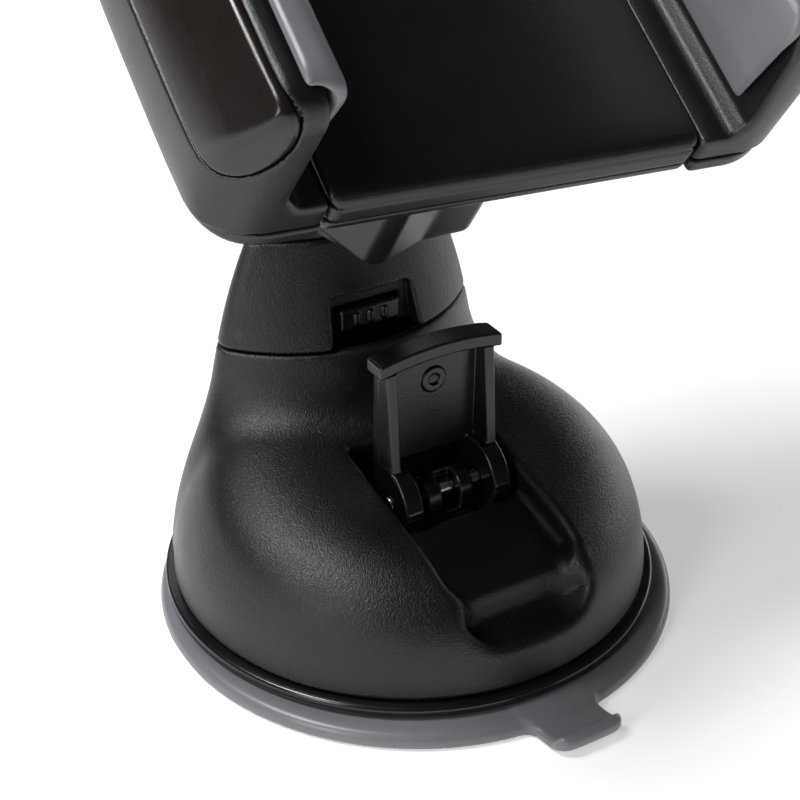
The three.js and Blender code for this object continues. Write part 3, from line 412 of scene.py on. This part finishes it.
def gel_pad_field(x, y, z):
    """A disc with a thinned edge, and a peel tab that curls up to a lip."""
    r = np.hypot(x, y)
    disc = smax(smax(r - GEL_RADIUS, z - 2.6 + np.maximum(r - 38, 0) * 0.1, 1.6), -z, 0.8)
    curl = np.clip((-42 - y) / 4.5, 0, 1.2)
    low = 1.1 * curl**2
    thick = 1.9
    plan = TAB_PLAN(x, y)
    tab = smax(plan, np.abs(z - low - thick / 2) - thick / 2, 0.9)
    lip = smax(plan, np.hypot(y + 45.4, z - 2.4) - 0.85, 0.5)
    pad = smin(disc, smin(tab, lip, 1.0), 1.6)
    return smax(pad, -z, 0.6)


def stem_field(x, y, z):
    """A disc in the cup's middle with a yoke on it, which the lever's pin goes through."""
    disc = rod(x, y, z, 0, -2, 13, 2.9, 4.6)
    post = smax(STEM_SIDE(y, z), np.abs(x) - 4.1, 0.8)
    bore = np.hypot(y - PIN_Y, z - PIN_Z) - 1.35
    notch = block(x, y, z, -1.5, 1.5, -12, -6.6, 19.4, 30, 0.4)
    step = block(x, y, z, -3.6, 3.6, -11.6, -9, 14, 18.6, 0.4)
    body = smin(smin(disc, post, 1.0), step, 0.3)
    return smax(smax(body, -notch, 0.4), -bore, 0.3)


add_field("base_cover_skin", cover_field, (-37, -35, RIM_Z), (37, 39, 47.5), 0.55,
          "base", TEXTURED, "base_cover")
add_field("gel_pad_skin", gel_pad_field, (-GEL_RADIUS, -47, 0), (GEL_RADIUS, GEL_RADIUS, 3.5), 0.55,
          "base", GEL, "gel_pad")
add_turned("suction_cup_skin", [(18, 2.9), (38.2, 2.9), (38.2, 4.6), (18, 4.6)],
           "base", RUBBER, "suction_cup", centre=(0, DOME_Y), sides=240, radius=0.6)
add_field("pull_stem_skin", stem_field, (-13, -15, 2.9), (13, 11, 24.8), 0.35,
          "stem", GLOSSY, "pull_stem")
add_turned("stem_pin_skin", [(0.001, -9.4), (1.25, -9.4), (1.25, 9.4), (0.001, 9.4)],
           "stem", STEEL, "stem_pin", place=along_pin, sides=48, radius=0.3)


# ---- lever, drawn round its pin and raised ----
def cam_outline():
    """A cam that reaches further from the pin as the lever swings down, with fine ridges on it."""
    steps = 28
    points = []
    for i in range(steps + 1):
        swing = LEVER_SWING * i / steps
        reach = 4.0 + 1.5 * i / steps - 0.1 * (i % 3 == 1)
        points.append((-reach * math.sin(swing), -reach * math.cos(swing)))
    points += [(-3.9, 4.0), (-1, 6), (3.9, 6), (4.4, 3)]
    return points + arc(4.0, 0, math.radians(-67.5), 4)


LEVER_SIDE = polygon(filleted([(-1, 5), (0.6, 24.5), (4.3, 24.5), (4.6, 5)], 0.5))
LEVER_PLATE = polygon(filleted([(2.9, 5), (2.6, 24.5), (4.2, 24.5), (4.6, 5)], 0.4))
LEVER_LIP = polygon(filleted([(0.1, 19), (0.1, 26), (4.2, 26), (4.26, 19)], 0.4))
LEVER_CAM = polygon(filleted(cam_outline(), 2.2, 4))


def lever_field(x, y, z):
    y, z = y - PIN_Y, z - PIN_Z
    wide = np.abs(x)
    walls = smax(LEVER_SIDE(y, z), np.abs(wide - 8.25) - 0.85, 0.4)
    plate = smax(LEVER_PLATE(y, z), wide - 9.1, 0.5)
    arch = 1.5 * (x / 12) ** 2
    lip = smax(smax(LEVER_LIP(y, z), wide - 10.3, 0.4), 22.3 - arch - z, 0.4)
    cams = smax(LEVER_CAM(y, z), np.abs(wide - 7.6) - 1.5, 0.5)
    body = union([walls, plate, cams, lip], 0.25)
    mark = np.hypot(x, z - 17.5)
    ring = smax(np.abs(mark - 1.45) - 0.55, np.abs(y - 2.7) - 0.45, 0.25)
    body = smin(body, ring, 0.3)
    body = smax(body, z - 24.4 + arch, 0.35)
    bore = np.hypot(y, z) - 1.4
    return smax(body, -bore, 0.3)


add_field("lock_lever_skin", lever_field, (-10.4, PIN_Y - 5.7, PIN_Z - 5.6),
          (10.4, PIN_Y + 5, PIN_Z + 24.6), 0.26, "lever", GLOSSY, "lock_lever")


# ---- collar and button ----
RECESS = polygon(filleted([(-7.6, 30), (7.6, 30), (7.6, 38.3), (6.9, 46), (-6.9, 46), (-7.6, 38.3)], 1.5))


def collar_field(x, y, z):
    outer = neck(x, y, z)
    around = block(x, y, z, -10, 10, 8, 16.4, 37, 48)
    shell = smax(outer, -smax(outer + WALL, -around, 0.4), 0.4)
    shell = smax(smax(shell, z - COLLAR_TOP, 0.7), SEAM_Z - z, 0.7)
    shell = smax(shell, -smax(RECESS(x, z), y - 14.6, 0.6), 0.7)
    return smax(shell, -block(x, y, z, -5.5, 5.5, 0, 18, 30, 43.6), 0.4)


def button_field(x, y, z):
    """The button with three grip ribs, its flange, and two hooked arms behind that."""
    wide = np.abs(x)
    parts = [block(x, y, z, -5.2, 5.2, 13.3, 18, 39.7, 43.3, 0.5)]
    for rib in (-2.4, 0, 2.4):
        parts.append(block(x, y, z, rib - 0.5, rib + 0.5, 12.9, 14.3, 40.5, 42.5, 0.35))
    parts.append(block(x, y, z, -8.8, 8.8, 17.2, 18.5, 39.1, 44.0, 0.2))
    parts.append(block(wide, y, z, 7.6, 8.8, 17.2, 26.4, 42, 44, 0.2))
    parts.append(block(wide, y, z, 4.5, 8.8, 25.3, 26.4, 42, 44, 0.2))
    return union(parts, 0.25)


add_field("collar_skin", collar_field, (-23, 9, SEAM_Z), (23, 34, COLLAR_TOP), 0.45,
          "base", TEXTURED, "collar")
add_field("release_button_skin", button_field, (-9, 12.5, 39), (9, 26.5, 44.2), 0.24,
          "button", GLOSSY, "release_button")


# ---- neck cap, a loft from the almond section to the stud ----
RING_POINTS = 96
RING_TURNS = np.arange(RING_POINTS) * 2 * math.pi / RING_POINTS


def neck_ring(z, inset):
    """The neck's section at height z, found by halving along rays from its middle."""
    low, high = np.zeros(RING_POINTS), np.full(RING_POINTS, 40.0)
    level = np.full(RING_POINTS, z)
    for _ in range(40):
        r = (low + high) / 2
        inside = neck(r * np.cos(RING_TURNS), NECK_Y + r * np.sin(RING_TURNS), level) < -inset
        low, high = np.where(inside, r, low), np.where(inside, high, r)
    return np.stack([low * np.cos(RING_TURNS), NECK_Y + low * np.sin(RING_TURNS), level], 1)


def stud_ring(radius, along):
    level = np.full(RING_POINTS, along)
    return to_stud(np.stack([radius * np.cos(RING_TURNS), radius * np.sin(RING_TURNS), level], 1))


def eased(a, b, steps):
    """The rings between two rings, slow at both ends."""
    out = []
    for t in np.linspace(0, 1, steps)[1:-1]:
        s = t * t * (3 - 2 * t)
        out.append(a * (1 - s) + b * s)
    return out


cap_shoulder = neck_ring(COLLAR_TOP + 1.5, 0.6)
cap_top = stud_ring(8.6, -13.4)
cap_skirt = [neck_ring(COLLAR_TOP + up, inset) for up, inset in (
    (-2.1, 2.4), (0.2, 2.4), (0.3, 0.25), (0.7, 0.0))]
cap_socket = [stud_ring(radius, along) for radius, along in (
    (7.9, -12.5), (7.2, -12), (6.2, -11.4), (5.2, -11.3), (3.95, -11.4), (3.9, -14.5))]
add_loft("neck_cap_skin", cap_skirt + [cap_shoulder] + eased(cap_shoulder, cap_top, 8) + [cap_top] + cap_socket,
         "base", SATIN, "neck_cap")


# ---- ball joint ----
stud_outline = [(0.001, -11), (1.5, -11), (1.5, -15), (3.6, -15), (3.6, -10.8), (4.2, -10.2)]
ball_outline = arc(BALL_RADIUS, math.asin(4.2 / BALL_RADIUS) - math.pi / 2, math.pi / 2 - 0.01, 22)
add_turned("ball_stud_skin", stud_outline + ball_outline + [(0.001, BALL_RADIUS)],
           "swivel", GLOSSY, "ball_stud", place=to_stud, radius=0.3)

LINER_RADIUS = 8.8
liner_outline = arc(LINER_RADIUS, math.pi / 2 - math.asin(4 / LINER_RADIUS), -math.asin(3.6 / LINER_RADIUS), 14)
add_turned("socket_liner_skin", [(10.2, -3.6), (10.2, 9.2), (4.0, 9.2)] + liner_outline,
           "liner", PALE, "socket_liner", place=about_ball, radius=0.2)


def star(points, tip, valley, phase):
    """A star with flat tips, as its outline. The phase and the tips' half width are in degrees."""
    out = []
    for i in range(points):
        for lean, reach in ((-4, tip), (4, tip), (180 / points, valley)):
            at = math.radians(360 / points * i + phase + lean)
            out.append((reach * math.cos(at), reach * math.sin(at)))
    return out


NUT_STAR = polygon(filleted(star(6, 17.9, 14.9, -math.degrees(1.9)), 0.8))


def nut_field(x, y, z):
    r = np.hypot(x, y)
    body = smax(smax(NUT_STAR(x, y), -5.5 - z, 1.8), z - 12, 1.6)
    body = smax(body, -smax(r - 12.8, -4 - z, 0.4), 0.6)
    return smax(body, -(r - 10.4), 0.6)


add_field("lock_nut_skin", nut_field, (-18, -18, -5.5), (18, 18, 12), 0.42,
          "lock_nut", SATIN, "lock_nut", place=about_ball)


# ---- cradle ----
FRONT_SIDE = polygon(filleted([
    (BODY_LOW, -7), (BODY_TOP, -7), (BODY_TOP, -1.9), (BODY_TOP - 1.6, -0.35),
    (BODY_TOP - 4.5, 0), (3.5, 0), (0.6, -0.35), (BODY_LOW, -1.9)], 1.2))
BACK_SIDE = polygon(filleted([
    (-1, -2), (-0.6, -6.2), (0.4, SCREW_N), (4, SCREW_N), (6, -8.8),
    (58, -8.8), (60, SCREW_N), (63.6, SCREW_N), (64.6, -6.2), (65, -2)], 0.8))
BACK_ACROSS = polygon(filleted([
    (-BODY_HALF, -2), (-BODY_HALF, SCREW_N), (-24, SCREW_N), (-22, -8.8),
    (22, -8.8), (24, SCREW_N), (BODY_HALF, SCREW_N), (BODY_HALF, -2)], 0.8))
TUBE = polygon(filleted([
    (10.5, 23.1), (10.5, -3.5), (12.5, -3.5), (12.5, 19.6), (14.5, 21.7), (14.5, 23.1)], 0.4))


def windows(u, v, n):
    """The slots that the arms' bars slide through, on the right, and half-turned on the left."""
    def right(a, b):
        return np.minimum(block(a, b, n, 18, 40, 37.7, 41.5, -8, -2.9, 0.2),
                          block(a, b, n, 18, 40, 13.6, 18.4, -8, -2.9, 0.2))
    return np.minimum(right(u, v), right(-u, TURN_V - v))


def plan_field(u, v, radius):
    """The cradle's body seen from the front."""
    past_v = np.abs(v - (BODY_LOW + BODY_TOP) / 2) - (BODY_TOP - BODY_LOW) / 2
    return rounded(np.abs(u) - BODY_HALF, past_v, radius)


def front_field(u, v, n):
    plan = plan_field(u, v, 2.0)
    body = smax(FRONT_SIDE(v, n), plan, 0.9)
    groove = smax(-(plan + 0.45), np.abs(n + 1.9) - 0.22, 0.15)
    body = smax(body, -groove, 0.3)
    body = smax(body, -block(u, v, n, -25, 25, 2, 62, -9, -2, 0.5), 0.4)
    for x, y in SCREWS:
        body = smin(body, rod(u, v, n, x, y, 2.6, FRONT_N, -1), 0.3)
        body = smax(body, -rod(u, v, n, x, y, 1.1, -6, -1.4), 0.2)
    body = smax(body, FRONT_N - n, 0.3)
    return smax(body, -windows(u, v, n), 0.3)


def screw_holes(body, u, v, n, x, y):
    """A body with a screw's hole through it, and room for its head."""
    body = smax(body, -rod(u, v, n, x, y, 2.4, -20, -5.8, 0.2), 0.3)
    return smax(body, -rod(u, v, n, x, y, 1.2, -20, 0), 0.2)


def back_field(u, v, n):
    """The back shell, with the slit tube that holds the liner and takes the nut."""
    plate = smax(smax(BACK_SIDE(v, n), BACK_ACROSS(u, n), 0.8), plan_field(u, v, 2.0), 0.6)
    plate = smax(plate, n - BACK_N, 0.3)
    plate = smax(plate, -block(u, v, n, -22, 22, 6, 58, -6.4, 0, 0.4), 0.4)
    plate = smax(plate, -windows(u, v, np.maximum(n, -6.3)), 0.2)
    across, up, out = u, v - BALL_IN_CRADLE[1], n - BALL_IN_CRADLE[2]
    tube = TUBE(np.hypot(across, up), out)
    for off_diagonal in (across + up, across - up):
        slit = smax(np.abs(off_diagonal) / math.sqrt(2) - 0.6, out - 6, 0.2)
        tube = smax(tube, -slit, 0.3)
    body = smin(plate, tube, 1.6)
    body = smin(body, rod(u, v, n, 0, 32, 1.6, -7, -3.2), 0.3)
    for x, y in SCREWS:
        body = screw_holes(body, u, v, n, x, y)
    return body


def screw_at(x, y, tip):
    """A pan-head screw that stands on its head at n = SCREW_N, with a cross in the head."""
    def field(u, v, n):
        a, b, m = u - x, v - y, n - SCREW_N
        r = np.hypot(a, b)
        head = smax(r - 2.1, np.abs(m - 0.6) - 0.6 + 0.06 * r * r, 0.4)
        thread = 0.08 * np.sin(m * 9)
        shank = smax(r - 0.9 - thread, np.abs(m - (tip + 7.7) / 2) - (tip + 6.7) / 2, 0.2)
        upright = smax(np.abs(a) - 0.3, np.abs(b) - 1.15, 0.1)
        level = smax(np.abs(b) - 0.3, np.abs(a) - 1.15, 0.1)
        cross = smax(np.minimum(upright, level), m - 0.75 + 0.3 * r, 0.1)
        return smax(smin(head, shank, 0.3), -cross, 0.12)
    return field


add_field("cradle_front_skin", front_field, (-BODY_HALF, BODY_LOW, FRONT_N), (BODY_HALF, BODY_TOP, 0), 0.42,
          "cradle", SATIN, "cradle_front", place=to_cradle)
add_field("cradle_back_skin", back_field, (-BODY_HALF, BODY_LOW, -35), (BODY_HALF, BODY_TOP, BACK_N), 0.5,
          "cradle", SATIN, "cradle_back", place=to_cradle)
for i, (x, y) in enumerate(SCREWS):
    add_field(f"cradle_screw_skin_{i + 1}", screw_at(x, y, -1.5), (x - 2.2, y - 2.2, -7.3),
              (x + 2.2, y + 2.2, -1.4), 0.13, "cradle", STEEL, f"cradle_screw_{i + 1}", place=to_cradle)


# ---- arms: every section is the right arm's, and the left arm mirrors it ----
# The outer face bulges: a cubic through points given as [n] and [u].
FACE_FIT = np.polyfit([-4.6, -2.0, 1.0, 5.0, 11.0, 16.0, 18.6],
                      [42.2, 42.9, 43.1, 42.7, 41.2, 39.2, 37.8], 3)


def face_at(n):
    """How far across the arm's outer face is at a height over the cradle's face."""
    return np.polyval(FACE_FIT, n)


ARM_INSIDE = [(27.3, -8), (27.3, -0.9), (31.6, -0.8), (32.6, 0.6), (33.3, 1.4), (33.4, 2.6), (32.2, 15.8),
              (32.6, 18.4), (34, 19.6), (36.4, 19.6)]
ARM_FACE = [(face_at(n), n) for n in np.linspace(18.2, -5.4, 15)]
ARM = polygon(filleted(ARM_INSIDE + ARM_FACE + [(41.4, -8)], 1.0))
HOLLOW = polygon(filleted([
    (29.3, -9), (29.3, -2.8), (32.4, -2.6), (35.3, 1), (34.3, 15.8), (35.4, 17.5), (36.6, 16.9),
    (39.2, 10.2), (40.5, 4.6), (40.7, 1), (40.2, -2), (39, -9)], 0.8))
PAD = polygon(filleted([
    (33.1, 3), (32.1, 3), (31.1, 8), (30.6, 15), (30.5, 19), (31.3, 20.8), (33.2, 21.7),
    (35.6, 21.4), (36, 20.4), (35.6, 20), (33.9, 20), (32.3, 18.8), (31.9, 15.8)], 0.9))
EDGE = polygon(filleted([
    (27.3, -2), (27.3, SCREW_N), (38.4, SCREW_N), (40.6, -6.4), (42.1, -4.9), (42.6, -2)], 1.2))


def rack_outline():
    """A bar that runs inwards, with seven teeth on its lower side."""
    inner, root, top, tip = -19, 38.1, 41.1, 36.2
    points = [(30.3, top), (inner, top), (inner, root)]
    for i in range(-5, 2):
        for along, height in ((-0.93, root), (-0.27, tip), (0.27, tip), (0.93, root)):
            points.append((math.pi * i + along, height))
    return points + [(30.3, root)]


RACK = polygon(rack_outline())


def arm_plan(u, v, inset, radius):
    """The arm seen from the front, with its outer corners rounded."""
    return rounded(u - (ARM_OUT - inset), np.abs(v - ARM_MID) - (ARM_HALF - inset), radius)


def arm_end(v, n, inset=0.0):
    """The arm seen from its side, with its tip's corners rounded."""
    return rounded(np.abs(v - ARM_MID) - (ARM_HALF - inset), n - (19.7 - inset), 5.5)


def bowed(u, v):
    """Where a point of the arm is before its outer side bows out."""
    bow = 1.1 * (1 - np.clip(np.abs((v - 24) / 29), 0, 1) ** 3)
    return u - bow * np.clip((u - 34) / 8, 0, 1)


def arm_outer(u, v, n):
    flat = bowed(u, v)
    body = smax(ARM(flat, n), arm_plan(flat, v, 0, 9), 1.0)
    return smax(body, arm_end(v, n), 1.4)


def inlay_area(u, v, n, extra):
    """Inside the inlay's outline, which runs round the arm's rounded ends."""
    under = np.maximum(face_at(np.clip(n, -5, 19)) - bowed(u, v), 0)
    along = np.abs(v - ARM_MID) + 0.8 * under
    outline = rounded(along - 32.2, np.abs(n - 11.6) - 6.6, 6.4)
    return smax(outline - extra, 35.6 - u, 0.5)


def bars_field(u, v, n):
    """The toothed bar, and the plain one with the lug that its spring pushes on."""
    rack = smax(RACK(u, v), np.abs(n + 4.7) - 1.4, 0.25)
    guide = block(u, v, n, 3, 30.3, 14, 18, -6.1, -3.3, 0.25)
    lug = block(u, v, n, 4.5, 7, 8, 15, -5.9, -3.3, 0.25)
    return np.minimum(rack, np.minimum(guide, lug))


def shell_field(u, v, n):
    """The hollow front shell of the arm, with a screw boss and a seat for the inlay."""
    outer = smax(arm_outer(u, v, n), FRONT_N - n, 0.3)
    room = smax(smax(HOLLOW(u, n), arm_plan(u, v, 2.3, 6), 1), arm_end(v, n, 2.3), 1)
    room = smax(room, -rod(u, v, n, *ARM_SCREW, 2.6, -9, -0.6), 0.3)
    body = smax(outer, -room, 0.5)
    body = smax(body, -rod(u, v, n, *ARM_SCREW, 1.1, -20, -1.6), 0.2)
    seat = smax(inlay_area(u, v, n, 0.25), -(arm_outer(u, v, n) + 1.1), 0.2)
    return smax(body, -seat, 0.4)


def arm_cover(u, v, n):
    flat = bowed(u, v)
    body = smax(smax(EDGE(flat, n), arm_plan(flat, v, 0.1, 10), 0.9), n - BACK_N, 0.25)
    body = screw_holes(body, u, v, n, *ARM_SCREW)
    for low, high in ((37.8, 41.4), (13.7, 18.3), (22.6, 26.2), (45.7, 50.3)):
        body = smax(body, -block(u, v, n, 0, 30.7, low, high, -6.4, 0, 0.2), 0.3)
    return body


def pad_field(u, v, n):
    """The grip pad, which is shorter towards the cradle's face and rounded at its tip."""
    low = np.interp(n, [3, 20], [3.0, 0.2])
    ends = rounded(np.abs(v - ARM_MID) - (28 - low), n - 22.2, 5)
    return smax(PAD(u, n) + 0.05, ends, 1.0)


def inlay_field(u, v, n):
    outer = arm_outer(u, v, n)
    return smax(smax(outer - 0.05, -(outer + 0.8), 0.3), inlay_area(u, v, n, 0), 0.5)


def add_arm(side, sign):
    """One arm's pieces. The sign is 1 on the right and -1 on the left."""
    def whole(u, v, n):
        bars_v = v if sign > 0 else TURN_V - v
        return np.minimum(shell_field(sign * u, v, n), bars_field(sign * u, bars_v, n))

    def handed(field):
        return lambda u, v, n: field(sign * u, v, n)

    def add(piece, field, low, high, step, finish):
        inner, outer = sorted((sign * low[0], sign * high[0]))
        add_field(f"{side}_{piece}_skin", field, (inner, *low[1:]), (outer, *high[1:]), step,
                  f"{side}_arm", finish, f"{side}_{piece}", place=to_cradle)

    add("arm", whole, (-20, -1, -7), (44.8, 57, 20), 0.42, SATIN)
    add("arm_cover", handed(arm_cover), (27, -1, -7.3), (44.6, 57, -4.8), 0.4, SATIN)
    add("pad", handed(pad_field), (30, 0, 2.8), (36.5, 56, 22), 0.3, GEL)
    add("inlay", handed(inlay_field), (34.5, -1, 4), (44.6, 57, 19), 0.28, INLAY)
    add("arm_screw", handed(screw_at(*ARM_SCREW, -2)), (32.3, 6.8, -7.3), (36.7, 11.2, -1.8), 0.13, STEEL)


add_arm("right", 1)
add_arm("left", -1)

# ---- the nodes kept from the frame ----
KEPT = {
    "base_frame": SATIN, "base_screw_1": STEEL, "base_screw_2": STEEL, "base_screw_3": STEEL,
    "button_spring": STEEL, "stud_screw": STEEL, "pinion": PALE, "pinion_screw": STEEL,
    "right_arm_spring": STEEL, "left_arm_spring": STEEL,
}
for name, finish in KEPT.items():
    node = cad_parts[name]
    node.data.materials.clear()
    node.data.materials.append(finish)


# ---- floor, light and camera, in metres ----
def add_floor():
    """A pale floor just under the gel pad, which glows a little so that it stays pale in the shade."""
    paint = bpy.data.materials.new("floor")
    paint.use_nodes = True
    shader = paint.node_tree.nodes["Principled BSDF"].inputs
    shader["Base Color"].default_value = (0.92, 0.92, 0.92, 1)
    shader["Roughness"].default_value = 0.85
    shader["Emission Color"].default_value = (1, 1, 1, 1)
    shader["Emission Strength"].default_value = 0.42
    bpy.ops.mesh.primitive_circle_add(vertices=96, radius=5, fill_type="NGON", location=(0, 0, -0.00002))
    floor = bpy.context.object
    floor.name = "floor"
    floor.data.materials.append(paint)


def add_world(seen, lit):
    """A white backdrop of strength seen that lights the object with strength lit only."""
    world = bpy.data.worlds.new("studio")
    world.use_nodes = True
    nodes, links = world.node_tree.nodes, world.node_tree.links
    background = nodes["Background"]
    background.inputs["Color"].default_value = (1, 1, 1, 1)
    path = nodes.new("ShaderNodeLightPath")
    bright = nodes.new("ShaderNodeMapRange")
    bright.inputs["To Min"].default_value = lit
    bright.inputs["To Max"].default_value = seen
    links.new(path.outputs["Is Camera Ray"], bright.inputs["Value"])
    links.new(bright.outputs["Result"], background.inputs["Strength"])
    bpy.context.scene.world = world
    bpy.context.scene.view_settings.view_transform = "Standard"


def softbox(name, azimuth, elevation, distance, width, height, radiance):
    """A rectangular lamp that faces the object. Azimuth 0 is behind it, and 90 to its right."""
    a, e = math.radians(azimuth), math.radians(elevation)
    aim = Vector((0, 0, 0.05))
    place = aim + distance * Vector((math.sin(a) * math.cos(e), math.cos(a) * math.cos(e), math.sin(e)))
    light = bpy.data.lights.new(name, "AREA")
    light.shape = "RECTANGLE"
    light.size, light.size_y = width, height
    light.energy = radiance * math.pi * width * height
    obj = bpy.data.objects.new(name, light)
    bpy.context.scene.collection.objects.link(obj)
    obj.location = place
    obj.rotation_euler = (aim - place).to_track_quat("-Z", "Y").to_euler()
    return obj


def add_camera(place, right, up, forward):
    data = bpy.data.cameras.new("camera")
    data.lens, data.sensor_width = 81, 36
    data.clip_start, data.clip_end = 0.01, 20
    camera = bpy.data.objects.new("camera", data)
    bpy.context.scene.collection.objects.link(camera)
    view = Matrix((right, up, [-c for c in forward])).transposed().to_4x4()
    view.translation = Vector(place)
    camera.matrix_world = view
    bpy.context.scene.camera = camera


add_floor()
add_world(seen=0.95, lit=0.045)
softbox("key_box", -68, 62, 0.9, 0.28, 0.28, 26)
softbox("left_box", -110, 24, 0.9, 0.22, 0.5, 8)
softbox("right_box", 72, 4, 1.0, 0.8, 0.25, 3.2)
softbox("rear_box", 10, 30, 1.4, 0.9, 0.3, 1.2)
add_camera(place=(-0.1204, -0.1957, 0.1718), right=(0.8572, -0.5150, 0.0), up=(0.2659, 0.4427, 0.8563),
           forward=(0.4410, 0.7340, -0.5164))
